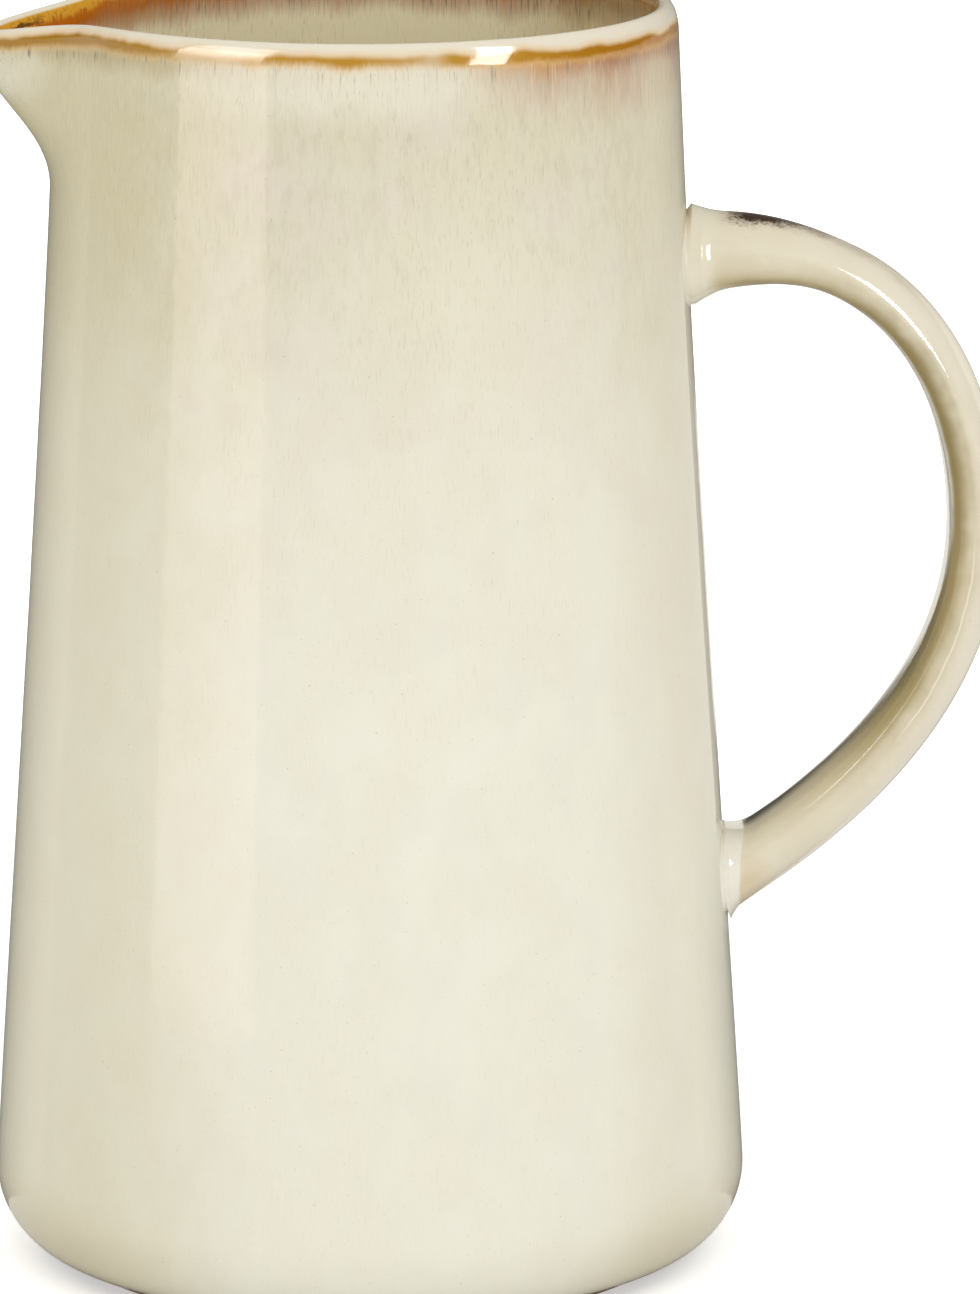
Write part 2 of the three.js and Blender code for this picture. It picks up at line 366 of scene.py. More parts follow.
def place(tree, shape, position):
    return add_field(tree, "GeometryNodeSetPosition", Geometry=shape, Position=position)


def close_shape(tree, shape, finishes):
    """Joins seams and poles, turns the faces outward and ends the tree with its materials."""
    shape = add_field(tree, "GeometryNodeFlipFaces", Mesh=shape)
    shape = add_field(tree, "GeometryNodeMergeByDistance", Geometry=shape, Distance=MERGE_DISTANCE)
    shape = add_field(tree, "GeometryNodeSetShadeSmooth", Geometry=shape)
    shape = add_field(tree, "GeometryNodeRealizeInstances", Geometry=shape)
    for material, where in finishes:
        part = {} if where is None else {"Selection": where}
        shape = add_field(tree, "GeometryNodeSetMaterial", Geometry=shape, Material=material, **part)
    exit_node = tree.nodes.new("NodeGroupOutput")
    feed(tree, exit_node.inputs["Shape"], shape)


def new_object(name, data):
    obj = bpy.data.objects.new(name, data)
    bpy.context.scene.collection.objects.link(obj)
    return obj


def line_object(name, points, numbers):
    """A row of points joined by edges, each of which carries named numbers."""
    mesh = bpy.data.meshes.new(name)
    mesh.from_pydata(points, [(i, i + 1) for i in range(len(points) - 1)], [])
    for label, values in numbers.items():
        mesh.attributes.new(label, "FLOAT", "POINT").data.foreach_set("value", values)
    return new_object(name, mesh)


def grow(obj, tree, sizes):
    """Runs a tree on a line with these sizes, and leaves the plain mesh that comes out."""
    modifier = obj.modifiers.new(tree.name, "NODES")
    modifier.node_group = tree
    for item in tree.interface.items_tree:
        if item.in_out == "INPUT" and item.name in sizes:
            modifier[item.identifier] = sizes[item.name]
    depsgraph = bpy.context.evaluated_depsgraph_get()
    mesh = bpy.data.meshes.new_from_object(obj.evaluated_get(depsgraph), depsgraph=depsgraph)
    obj.modifiers.remove(modifier)
    line = obj.data
    mesh.name = obj.name
    obj.data = mesh
    bpy.data.meshes.remove(line)
    mesh.set_sharp_from_angle(angle=SHARP_ANGLE)
    return obj


# The wall's shape

def wall_radius(z):
    t = (HEIGHT - z) / (HEIGHT - CORNER_TOP)
    return RIM_RADIUS + (BASE_RADIUS - RIM_RADIUS) * t - WALL_HOLLOW * HOLLOW_SCALE * t * (1 - t) ** 2


def wall_slope(z):
    step = 0.5 * MM
    return (wall_radius(z - step) - wall_radius(z + step)) / (2 * step)


def bezier(points, share):
    a, b, c, d = points
    rest = 1 - share
    return a * rest ** 3 + b * (3 * share * rest ** 2) + c * (3 * share ** 2 * rest) + d * share ** 3


def even(start, end, steps):
    """Numbers at even steps from start up to and without end."""
    return [start + (end - start) * i / steps for i in range(steps)]


def quarter_round(start, out, end, back):
    return [Vector(start), Vector(start) + Vector(out), Vector(end) + Vector(back), Vector(end)]


def over_the_rim(start, crest):
    """From a face of the wall up and over to the rim's crest."""
    rise = QUARTER_PULL * (crest.y - start.y)
    reach = QUARTER_PULL * (start.x - crest.x)
    return quarter_round(start, (-wall_slope(start.y) * rise, rise), crest, (reach, 0))


def body_section():
    """Points (radius, height, inside) from the middle underneath, over the rim, to the floor's middle."""
    rise = QUARTER_PULL * CORNER_HEIGHT
    base_corner = quarter_round(
        (FOOT_RADIUS, FOOT_STEP), (QUARTER_PULL * (BASE_RADIUS - FOOT_RADIUS), 0),
        (BASE_RADIUS, CORNER_TOP), (wall_slope(CORNER_TOP) * rise, -rise))
    inner_top = FLOOR_TOP + INNER_CORNER
    inner_radius = wall_radius(inner_top) - WALL
    pull = QUARTER_PULL * INNER_CORNER
    floor_corner = quarter_round(
        (inner_radius, inner_top), (wall_slope(inner_top) * pull, -pull),
        (inner_radius - INNER_CORNER, FLOOR_TOP), (pull, 0))
    lip_root = HEIGHT - LIP_DEPTH
    crest = Vector((wall_radius(HEIGHT) - WALL / 2, HEIGHT))
    outer_rim = over_the_rim(Vector((wall_radius(RIM_START), RIM_START)), crest)
    inner_rim = over_the_rim(Vector((wall_radius(RIM_START_INSIDE) - WALL, RIM_START_INSIDE)), crest)
    recess_radius = FOOT_INNER - FOOT_DRAFT
    points = [(radius, RECESS, 0) for radius in even(0, recess_radius, UNDERSIDE_STEPS)]
    points += [(recess_radius, RECESS, 0), (FOOT_INNER, FOOT_ROUND, 0), (FOOT_INNER + FOOT_ROUND, 0, 0)]
    foot_radii = even(FOOT_INNER + 2 * FOOT_ROUND, FOOT_RADIUS - FOOT_ROUND, FOOT_STEPS)
    points += [(radius, 0, 0) for radius in foot_radii]
    points += [(FOOT_RADIUS - FOOT_ROUND, 0, 0), (FOOT_RADIUS, FOOT_ROUND, 0)]
    points += [(*bezier(base_corner, share), 0) for share in even(0, 1, BASE_CORNER_STEPS)]
    points += [(wall_radius(z), z, 0) for z in even(CORNER_TOP, lip_root, WALL_STEPS)]
    points += [(wall_radius(z), z, 0) for z in even(lip_root, RIM_START, LIP_STEPS)]
    points += [(*bezier(outer_rim, share), share / 2) for share in even(0, 1, OUTER_RIM_STEPS)]
    points += [(*bezier(inner_rim, 1 - share), (1 + share) / 2) for share in even(0, 1, INNER_RIM_STEPS)]
    points += [(wall_radius(z) - WALL, z, 1) for z in even(RIM_START_INSIDE, lip_root, LIP_STEPS)]
    points += [(wall_radius(z) - WALL, z, 1) for z in even(lip_root, inner_top, INNER_WALL_STEPS)]
    points += [(*bezier(floor_corner, share), 1) for share in even(0, 1, FLOOR_CORNER_STEPS)]
    points += [(radius, FLOOR_TOP, 1) for radius in even(inner_radius - INNER_CORNER, 0, FLOOR_STEPS)]
    return points + [(0, FLOOR_TOP, 1)]


def turned_body_tree():
    """Turns the section round the axis, draws the lip out of it and gives the wall its slight unevenness."""
    sizes = ["Axis X", "Height", "Wall", "Lip Reach", "Lip Depth", "Lip Dip", "Lip Spread",
             "Lip Spread Inside", "Lip Dip Spread", "Wobble", "Foot Top"]
    tree, size = shape_tree("turned_body", sizes, ["Turns"], ["Glaze", "Clay"])
    sheet, row, column = sheet_of_rings(tree, size["Line"], size["Turns"])
    radius, _, z = split(read_line(tree, size["Line"], row))
    inside = read_line(tree, size["Line"], row, "inside")
    angle = column / size["Turns"] * (2 * math.pi)
    aside = angle - math.pi
    root = size["Height"] - size["Lip Depth"] + inside * size["Wall"] / 3
    lift = step_up(z, root, size["Height"])
    spread = size["Lip Spread"] + (size["Lip Spread Inside"] - size["Lip Spread"]) * inside
    push = size["Lip Reach"] * calc("EXPONENT", -((aside / spread) ** 2)) * lift
    dip = size["Lip Dip"] / (1 + (aside / size["Lip Dip Spread"]) ** 2) * lift
    east, north = calc("COSINE", angle), calc("SINE", angle)
    bumps = add_field(tree, "ShaderNodeTexNoise", Vector=join(tree, east * radius, north * radius, z),
                      Scale=WOBBLE_GRAINS, Detail=1.0)
    uneven = (bumps - 0.5) * size["Wobble"] * 2 * step_up(z, WOBBLE_FROM, WOBBLE_FULL)
    out = radius + push + uneven * step_up(radius, 0, WOBBLE_REACH)
    position = join(tree, size["Axis X"] + out * east, out * north, z - dip)
    shape = keep_number(tree, sheet, "rim_drop", size["Height"] - z)
    shape = keep_number(tree, shape, "inside", inside)
    shape = place(tree, shape, position)
    _, _, height = split(add_field(tree, "GeometryNodeInputPosition"))
    on_foot = calc("LESS_THAN", height, size["Foot Top"])
    close_shape(tree, shape, [(size["Glaze"], None), (size["Clay"], on_foot)])
    return tree


def make_body(glaze, clay):
    section = body_section()
    line = line_object("jug_body", [(r, 0, z) for r, z, _ in section], {"inside": [i for _, _, i in section]})
    return grow(line, turned_body_tree(), {
        "Axis X": AXIS_X, "Height": HEIGHT, "Wall": WALL, "Lip Reach": LIP_REACH, "Lip Depth": LIP_DEPTH,
        "Lip Dip": LIP_DIP, "Lip Spread": LIP_SPREAD, "Lip Spread Inside": LIP_SPREAD_INSIDE,
        "Lip Dip Spread": LIP_DIP_SPREAD, "Wobble": WOBBLE, "Foot Top": FOOT_BARE, "Turns": BODY_TURNS,
        "Glaze": glaze, "Clay": clay})


# Handle line and its sections

def handle_line():
    """Close points of the handle's middle line from the upper wall down, and their distances along it."""
    apex_z = (UPPER_ROOT + LOWER_ROOT) / 2 + APEX_RISE
    inner_depth = INNER_SHARE * (STRAP_THICKNESS + LOWER_THICKNESS) / 2
    upper = Vector((wall_radius(UPPER_ROOT), UPPER_ROOT))
    apex = Vector((wall_radius(apex_z) + FINGER_GAP + inner_depth, apex_z))
    lower = Vector((wall_radius(LOWER_ROOT), LOWER_ROOT))
    upper_pull = Vector((math.cos(UPPER_PITCH), math.sin(UPPER_PITCH))) * UPPER_BEND
    lower_pull = Vector((math.cos(LOWER_PITCH), math.sin(LOWER_PITCH))) * LOWER_BEND
    apex_pull = Vector((0, APEX_BEND))
    first = [upper, upper + upper_pull, apex + apex_pull, apex]
    second = [apex, apex - apex_pull, lower + lower_pull, lower]
    shares = even(0, 1, LINE_STEPS)
    points = [bezier(curve, share) for curve in (first, second) for share in shares] + [lower]
    distances = [0.0]
    for here, there in zip(points, points[1:]):
        distances.append(distances[-1] + (there - here).length)
    return points, distances


LINE_POINTS, LINE_DISTANCES = handle_line()
LINE_LENGTH = LINE_DISTANCES[-1]


def on_line(distance):
    """Point and direction of the handle's line at a distance. It runs on straight past both ends."""
    last = len(LINE_POINTS) - 2
    k = 0
    while k < last and LINE_DISTANCES[k + 1] < distance:
        k += 1
    here, there = LINE_POINTS[k], LINE_POINTS[k + 1]
    direction = (there - here).normalized()
    return here + direction * (distance - LINE_DISTANCES[k]), direction


def smooth(share):
    share = min(max(share, 0), 1)
    return share * share * (3 - 2 * share)


def station(distance):
    """Everything that the section needs at a distance along the handle's line."""
    middle, direction = on_line(distance)
    share = min(max(distance / LINE_LENGTH, 0), 1)
    swell = smooth((UPPER_TAPER - distance) / UPPER_TAPER)
    thickness = STRAP_THICKNESS + (LOWER_THICKNESS - STRAP_THICKNESS) * share
    thickness += (UPPER_THICKNESS - STRAP_THICKNESS) * swell
    width = APEX_WIDTH + (ROOT_WIDTH - APEX_WIDTH) * (2 * share - 1) ** 2
    to_end = min(distance, LINE_LENGTH - distance)
    hug = 1 - smooth(to_end / LEAN_LENGTH)
    outward = Vector((-direction.y, direction.x))
    slope = wall_slope(middle.y)
    up_wall = Vector((-slope, 1)).normalized() * (1 if share < 0.5 else -1)
    lean = (outward * (1 - hug) + up_wall * hug).normalized()
    thickness /= abs(lean.x * outward.x + lean.y * outward.y)
    return middle, lean, thickness, width, hug


def flare_at(away, collar):
    """How far the form spreads along the wall, this far away from it: outer side, inner side and across."""
    def flare(spread, length, edge):
        return spread * min(max((length - away) / (length - edge), 0), 1) ** 2

    def behind(edge):
        return min(max(1 - away / edge, 0), 1)

    outer = flare(collar.outer_flare, collar.outer_length, collar.edge) - collar.notch * behind(collar.edge)
    inner = flare(collar.inner_flare, collar.inner_length, collar.edge)
    across = flare(collar.side_flare, collar.side_length, collar.side_edge)
    across += collar.swell * behind(collar.side_edge) ** 2 + collar.fillet * behind(collar.fillet_edge) ** 2
    return outer, inner, across


def away_from_wall(distance):
    middle, _ = on_line(distance)
    return middle.x - wall_radius(middle.y)


def distance_at(away, upper):
    """Distance along the line at which its middle stands this far from the wall, at one of its ends."""
    end = 0 if upper else LINE_LENGTH
    low, high = end - LINE_LENGTH / 4, end + LINE_LENGTH / 4
    for _ in range(HALVINGS):
        middle = (low + high) / 2
        if (away_from_wall(middle) < away) == upper:
            low = middle
        else:
            high = middle
    return (low + high) / 2


def strap_tree():
    """Sweeps the handle's section along its line. Near the wall the sections lean to lie along it."""
    sizes = ["Axis X", "Inner Share", "Inner Squareness", "Outer Squareness"]
    tree, size = shape_tree("swept_strap", sizes, ["Turns"], ["Glaze"])
    sheet, row, column = sheet_of_rings(tree, size["Line"], size["Turns"])

    def read(name):
        return read_line(tree, size["Line"], row, name)

    middle_x, _, middle_z = split(read_line(tree, size["Line"], row))
    angle = column / size["Turns"] * (2 * math.pi)
    across, out = calc("COSINE", angle), calc("SINE", angle)
    outer = calc("GREATER_THAN", out, 0)
    inner = 1 - outer
    power = 2 / (outer * size["Outer Squareness"] + inner * size["Inner Squareness"])
    share = outer + size["Inner Share"] * (inner - outer)

    def bend(value):
        return calc("SIGN", value) * calc("ABSOLUTE", value) ** power

    side = bend(across) * read("width") / 2
    depth = bend(out) * read("thickness") * share
    upright = read("inner_spread") + (read("outer_spread") - read("inner_spread")) * (1 + out) / 2
    spread = upright + (read("across_spread") - upright) * across * across
    side = side + spread * across
    depth = depth + spread * out
    z = middle_z + depth * read("lean_z")
    radius = read("radius")
    hug = read("hug") * (radius - calc("SQRT", calc("MAXIMUM", radius * radius - side * side, 0)))
    x = size["Axis X"] + middle_x + depth * read("lean_x") - hug
    shape = keep_number(tree, sheet, "along", read("along"))
    shape = keep_number(tree, shape, "outer", out)
    shape = keep_number(tree, shape, "depth", depth)
    shape = place(tree, shape, join(tree, x, side, z))
    close_shape(tree, shape, [(size["Glaze"], None)])
    return tree


STRAP_TREE = strap_tree()
STRAP_NUMBERS = ["width", "thickness", "lean_x", "lean_z", "hug", "radius", "outer_spread", "inner_spread",
                 "across_spread", "along"]


def make_strap(name, distances, glaze):
    """A stretch of the handle's form through these distances, closed at both ends."""
    points = []
    numbers = {label: [] for label in STRAP_NUMBERS}
    rows = [distances[0], *distances, distances[-1]]
    for k, distance in enumerate(rows):
        middle, lean, thickness, width, hug = station(distance)
        collar = UPPER_COLLAR if distance < LINE_LENGTH / 2 else LOWER_COLLAR
        spreads = flare_at(away_from_wall(distance), collar)
        if k in (0, len(rows) - 1):
            width = thickness = 0
            spreads = (0, 0, 0)
        points.append((middle.x, 0, middle.y))
        values = (width, thickness, lean.x, lean.y, hug, wall_radius(middle.y), *spreads, distance)
        for label, value in zip(STRAP_NUMBERS, values):
            numbers[label].append(value)
    return grow(line_object(name, points, numbers), STRAP_TREE, {
        "Axis X": AXIS_X, "Inner Share": INNER_SHARE, "Inner Squareness": INNER_SQUARENESS,
        "Outer Squareness": OUTER_SQUARENESS, "Turns": SECTION_TURNS, "Glaze": glaze})


def collar_distances(upper):
    """Close steps from inside the wall to the end of the collar, with one on its edge."""
    edge = (UPPER_COLLAR if upper else LOWER_COLLAR).edge
    aways = even(-SINK, 0, SINK_STEPS) + even(0, edge, EDGE_STEPS)
    aways += even(edge, COLLAR_END, COLLAR_STEPS) + [COLLAR_END]
    found = [distance_at(away, upper) for away in aways]
    return found if upper else found[::-1]


def handle_distances():
    start, end = distance_at(COLLAR_END, True), distance_at(COLLAR_END, False)
    turns = even(0, math.pi, HANDLE_STEPS) + [math.pi]
    return [start + (end - start) * (1 - math.cos(turn)) / 2 for turn in turns]


# Materials. Places and distances in their rules are in millimetres, and shares go from 0 to 1.

def tint(code):
    """A colour written as it looks on a screen, as the linear colour that a shader takes."""
    parts = [int(code[i:i + 2], 16) / 255 for i in (0, 2, 4)]
    return (*(p / 12.92 if p <= 0.04045 else ((p + 0.055) / 1.055) ** 2.4 for p in parts), 1)


# Colours of the body's outside
CREAM = tint("edead9")
GREY_BEIGE = tint("d8d0b6")
BLUSH = tint("dfd3c6")
CREAM_PATCH = tint("eae2cc")
STRAW = tint("d4cda9")
FLECK = tint("c4baa0")
LIP_SHADE_KHAKI = tint("cec49d")
SHADED_STRAW = tint("c8bd98")
PAINTED_LIGHT_CREAM = tint("ece6d0")
BARE_CREAM = tint("ebe5d1")
PALE_STROKE = tint("e9e3d0")
DARK_STROKE = tint("aea487")
SPECK = tint("7c6c4c")
BASE_SHADE_KHAKI = tint("bfb086")
ASHEN = tint("b98f6b")
LIGHT_RUST = tint("c88f4c")
RUST = tint("a3632c")
DULL_RUST = tint("8f6d48")
DARK_RUN = tint("a28d69")
PALE_RUN = tint("efe5d0")
LIP_HAZE = tint("a8925f")
DRIP = tint("70551f")
RIM_CREAM = tint("e9e0cb")
AMBER_HALO = tint("e0b162")
LIGHT_AMBER = tint("bb8a2e")
LIP_AMBER = tint("a57714")
DEEP_AMBER = tint("aa7000")
FOOT_BROWN = tint("6e4f30")

# Colours of the body's inside
INNER_CREAM = tint("ece3c0")
SHADED_INNER_KHAKI = tint("c8b384")
INNER_DARK_STROKE = tint("a39876")
INNER_PALE_STROKE = tint("efe9d2")
INNER_RUST = tint("c09a7c")
SHADED_INNER_RUST = tint("b09870")
LIP_RUST = tint("b98450")
INNER_BROWN = tint("b4763a")
SHADED_INNER_BROWN = tint("96744a")
LIP_BROWN = tint("b05c14")
LIP_GOLD = tint("d69b2a")
LIP_ORANGE = tint("c06800")
INNER_GOLD = tint("b67c36")
SHADED_INNER_GOLD = tint("a07c48")
INNER_STREAK = tint("55330f")
TIP_STREAK = tint("572f06")
INNER_RIM = tint("e6dcc4")

# Colours of the handle and the collars
STRAP_CREAM = tint("e8e0ca")
STRAP_PATCH = tint("e1d8be")
STRAP_BLUSH = tint("e4d6bf")
STRAP_SHADE_KHAKI = tint("b8a87a")
STRAP_SHADE_OLIVE = tint("8a7642")
UNDERSIDE_SHADE_OLIVE = tint("7d6836")
PAINTED_HIGHLIGHT_LINE = tint("f4ecd6")
CROSSING_SHADE_OLIVE = tint("564818")
PAINTED_REFLECTION_GREY = tint("dad6cb")
CROSSING_SHADE_BROWN = tint("3c2c14")
ORANGE_TINGE = tint("d3b27a")
SHADE = tint("9c8a6e")
SMUDGE = tint("3a2412")
LOWER_END_DARK_BROWN = tint("2e1d08")
SLIP_CREAM = tint("f0ebdc")

# Colours of the bare clay
CLAY = tint("c3a582")
CLAY_PATCH = tint("b3926d")
CLAY_SPECK = tint("6d5238")


def blend(share, below, above):
    """Lays the colour above over the colour below, by a share."""
    node = share.tree.nodes.new("ShaderNodeMix")
    node.data_type = "RGBA"
    for slot, value in zip((node.inputs[0], node.inputs[6], node.inputs[7]), (share, below, above)):
        feed(share.tree, slot, value)
    return Field(share.tree, node.outputs[2])


def object_coordinates(tree):
    return Field(tree, tree.nodes.new("ShaderNodeTexCoord").outputs["Object"])


def object_place(tree):
    """Object coordinates in millimetres."""
    return add_field(tree, "ShaderNodeVectorMath", {"operation": "SCALE"},
                     Vector=object_coordinates(tree), Scale=MM_PER_METRE)


def noise(spot, across, up, detail, shift):
    """Soft noise whose grains are across millimetres wide and up millimetres tall."""
    shifted = add_field(spot.tree, "ShaderNodeMapping", Vector=spot, Scale=(1 / across, 1 / across, 1 / up),
                        Location=(shift, shift * 0.7, shift * 1.3))
    return add_field(spot.tree, "ShaderNodeTexNoise", Vector=shifted, Scale=1.0, Detail=detail)


def attribute(tree, name):
    node = tree.nodes.new("ShaderNodeAttribute")
    node.attribute_name = name
    return Field(tree, node.outputs["Fac"])


def glaze_grain_group():
    """What every glaze on the jug shares: short upright strokes, soft patches, dark specks and a ripple."""
    tree = bpy.data.node_groups.new("glaze_grain", "ShaderNodeTree")
    for label in ("Stroke Width", "Stroke Length", "Speck Size", "Patch Size"):
        tree.interface.new_socket(label, in_out="INPUT", socket_type="NodeSocketFloat")
    for label in ("Dark Strokes", "Pale Strokes", "Patches", "Blushes", "Specks", "Ripple"):
        tree.interface.new_socket(label, in_out="OUTPUT", socket_type="NodeSocketFloat")
    entry = tree.nodes.new("NodeGroupInput")
    size = {label.name: Field(tree, label) for label in entry.outputs if label.name}
    x, y, z = split(object_place(tree))

    def stretched(across, up, detail, shift):
        vector = join(tree, x / across + shift, y / across, z / up)
        return add_field(tree, "ShaderNodeTexNoise", Vector=vector, Scale=1.0, Detail=detail)

    width, length, patch = size["Stroke Width"], size["Stroke Length"], size["Patch Size"]
    patches = step_up(stretched(patch, patch * 1.4, 3.0, 83.0), 0.36, 0.64)
    blushes = step_up(stretched(patch * 0.8, patch, 2.0, 47.0), 0.4, 0.66)
    dark = step_up(stretched(width, length, 2.0, 0.0), 0.55, 0.7)
    pale = step_up(stretched(width, length * 1.3, 2.0, 31.0), 0.55, 0.7)
    specks = step_up(stretched(size["Speck Size"], size["Speck Size"], 1.0, 57.0), 0.75, 0.8)
    results = {"Dark Strokes": dark * (0.35 + patches * 0.65), "Pale Strokes": pale, "Patches": patches,
               "Blushes": blushes, "Specks": specks, "Ripple": stretched(1.8, 2.4, 2.0, 11.0)}
    exit_node = tree.nodes.new("NodeGroupOutput")
    for label, value in results.items():
        feed(tree, exit_node.inputs[label], value)
    return tree


GLAZE_GRAIN = glaze_grain_group()


def empty_material(name):
    """A new material and its tree, with no nodes yet."""
    material = bpy.data.materials.new(name)
    material.use_nodes = True
    material.node_tree.nodes.clear()
    return material, material.node_tree


def show(tree, shader):
    exit_node = tree.nodes.new("ShaderNodeOutputMaterial")
    tree.links.new(shader.outputs[0], exit_node.inputs[0])


def shaded_material(name):
    """A new material, its tree and its shader node."""
    material, tree = empty_material(name)
    shader = tree.nodes.new("ShaderNodeBsdfPrincipled")
    show(tree, shader)
    return material, tree, shader


def grain(tree, stroke_width, stroke_length, speck_size, patch_size):
    node = add_node(tree, "ShaderNodeGroup", {"node_tree": GLAZE_GRAIN}, Stroke_Width=stroke_width,
                    Stroke_Length=stroke_length, Speck_Size=speck_size, Patch_Size=patch_size)
    return {out.name: Field(tree, out) for out in node.outputs}


def finish_glaze(tree, shader, colour, marks):
    """Joins colour, gloss and a faint ripple to the shader."""
    rough = ROUGHNESS + marks["Patches"] * PATCH_ROUGHNESS + marks["Specks"] * SPECK_ROUGHNESS
    feed(tree, shader.inputs["Base Color"], colour)
    feed(tree, shader.inputs["Roughness"], rough)
    bump = add_field(tree, "ShaderNodeBump", Strength=RIPPLE_STRENGTH, Distance=RIPPLE_HEIGHT,
                     Height=marks["Ripple"])
    feed(tree, shader.inputs["Normal"], bump)
    shader.inputs["IOR"].default_value = GLAZE_IOR


def bell(value, middle, spread):
    """1 at the middle, falling smoothly to 0 on both sides."""
    return calc("EXPONENT", -(((value - middle) / spread) ** 2))


def body_glaze():
    material, tree, shader = shaded_material("body_glaze")
    marks = grain(tree, stroke_width=0.32, stroke_length=2.4, speck_size=0.32, patch_size=11.0)
    spot = object_place(tree)
    x, y, _ = split(spot)
    x = x - AXIS_X / MM
    drop = attribute(tree, "rim_drop") * MM_PER_METRE
    wave = noise(spot, across=9.0, up=30.0, detail=2.0, shift=5.0) - 0.5
    runs = noise(spot, across=0.42, up=12.0, detail=2.0, shift=9.0) - 0.5
    broad = noise(spot, across=24.0, up=60.0, detail=1.0, shift=3.0)
    mottle = noise(spot, across=7.0, up=10.0, detail=3.0, shift=15.0) - 0.5
    outer = outer_glaze(marks, spot, x, y, drop, wave, runs, broad, mottle)
    inner = inner_glaze(marks, spot, x, drop, wave, runs, mottle)
    over = step_up(attribute(tree, "inside"), 0.5, 0.6)
    finish_glaze(tree, shader, blend(over, outer, inner), marks)
    return material


def outer_ground(marks, spot, x, drop, wave, mottle):
    """Cream below, mottled grey beige above, and khaki towards the lip, which is painted shade. Also painted:
    light at the upper front right, shade towards the handle and on the base's sides.
    """
    level = drop + wave * 12 + mottle * 14
    upper = step_down(level, 2, 72) * 0.75 + step_down(level, 40, 130) * 0.25
    colour = blend(upper, CREAM, GREY_BEIGE)
    colour = blend(marks["Blushes"] * (0.12 + upper * 0.4), colour, BLUSH)
    colour = blend(marks["Patches"] * (1 - upper) * 0.24, colour, CREAM_PATCH)
    colour = blend(marks["Patches"] * upper * 0.4, colour, STRAW)
    flecks = step_up(noise(spot, across=1.7, up=4.2, detail=3.0, shift=27.0), 0.46, 0.66)
    colour = blend(flecks * upper * upper * 0.34, colour, FLECK)
    # Painted shade: the lip's side is made darker and more khaki.
    khaki = step_down(x + mottle * 16, -46, -14) * step_up(upper, 0, 1, 0.4, 0.9)
    colour = blend(khaki, colour, LIP_SHADE_KHAKI)
    # Painted shade: darker straw towards the handle's side.
    beside = step_up(x + mottle * 8, 36, 51) * (0.2 + upper * 0.3)
    colour = blend(beside, colour, SHADED_STRAW)
    # Painted light: a lighter patch on the upper front right.
    colour = blend(bell(x, 16, 15) * bell(drop, 40, 22) * 0.45, colour, PAINTED_LIGHT_CREAM)
    bare = bell(x, 0, 26) * 0.7 + step_down(x, -58, -48) * 0.6
    colour = blend(step_down(drop + mottle * 8, 8, 15) * bare, colour, BARE_CREAM)
    colour = blend(marks["Pale Strokes"] * (0.04 + upper * 0.18), colour, PALE_STROKE)
    colour = blend(marks["Dark Strokes"] * (0.07 + upper * 0.24), colour, DARK_STROKE)
    colour = blend(marks["Specks"] * 0.5, colour, SPECK)
    # Painted shade: khaki low down on the left and right of the rounded base.
    sides = step_up(calc("ABSOLUTE", x), 24, 52) * step_up(drop, 188, 205)
    colour = blend(sides * 0.5, colour, BASE_SHADE_KHAKI)
    return colour


def rusty_haze(colour, x, edge, left, strength, runs, mottle):
    """Rust and short runs under the amber line towards the handle, and dark drips towards the lip."""
    haze = step_up(edge, -0.2, 0.6) * step_down(edge + runs * 5 + mottle * 5, 0.6, 5.0)
    right = step_up(x + mottle * 10, 13, 30)
    ashen = step_up(edge, 0, 1.5) * step_down(edge + runs * 8 + mottle * 10, 2, 13) * right
    colour = blend(ashen * 0.62, colour, ASHEN)
    rusty = blend(step_up(x, 26, 38), LIGHT_RUST, RUST)
    colour = blend(haze * (0.05 + right * 0.8), colour, rusty)
    colour = blend(haze * step_up(x + mottle * 10, 36, 50) * 0.4, colour, DULL_RUST)
    near_line = step_up(edge, 0.2, 1.2) * step_down(edge, 3, 16) * (0.2 + right * 0.8)
    colour = blend(near_line * step_up(runs, 0.05, 0.22) * 0.5, colour, DARK_RUN)
    colour = blend(near_line * step_down(runs, -0.2, -0.05) * 0.4, colour, PALE_RUN)
    colour = blend(haze * left * step_up(x, -60, -48, 0.2, 0.65), colour, LIP_HAZE)
    drips = step_up(edge, 0.1, 0.7) * step_down(edge - runs * 6, 1.0, 3.0) * step_up(runs, 0.06, 0.18)
    colour = blend(drips * (0.1 + strength * 0.15 + left * 0.45), colour, DRIP)
    return colour


def amber_line(colour, x, y, drop, wave, runs, broad, mottle):
    """A line under a cream rim. It lies lower towards the handle, and nearly fades in places at the front; at
    the left of the front that fade is painted reflection.
    """
    left = step_down(x, -46, -12)
    edge = drop - step_up(x, 12, 51, 2.5, 3.55) + left * 0.1 - wave * 1.8
    half = 0.66 + left * 0.1 + mottle * 1.2
    # Painted reflection: round x = -24.4 mm the line fades where the left strip's reflection washes it out.
    gap = bell(x, 10.5, 2.6) * 0.45 + bell(x, 5, 6) * 0.25 + bell(x, -24.4, 6.5) * 0.5
    gap = gap * calc("LESS_THAN", y, 0)
    strength = (0.95 + broad * 0.3) * (1 - gap)
    colour = rusty_haze(colour, x, edge, left, strength, runs, mottle)
    colour = blend(step_down(edge, -0.6, 0.4), colour, RIM_CREAM)
    halo = step_up(edge + half, -1.4, 0.2) * step_down(edge - half + runs * 2, -0.3, 1.5)
    colour = blend(halo * strength * 0.6, colour, AMBER_HALO)
    line = step_up(edge + half, -0.5, 0.5) * step_down(edge - half + runs * 0.9, -0.75, 0.75)
    gold = blend(left, LIGHT_AMBER, LIP_AMBER)
    gold = blend(step_up(x, 18, 40), gold, DEEP_AMBER)
    colour = blend(line * strength, colour, gold)
    return colour


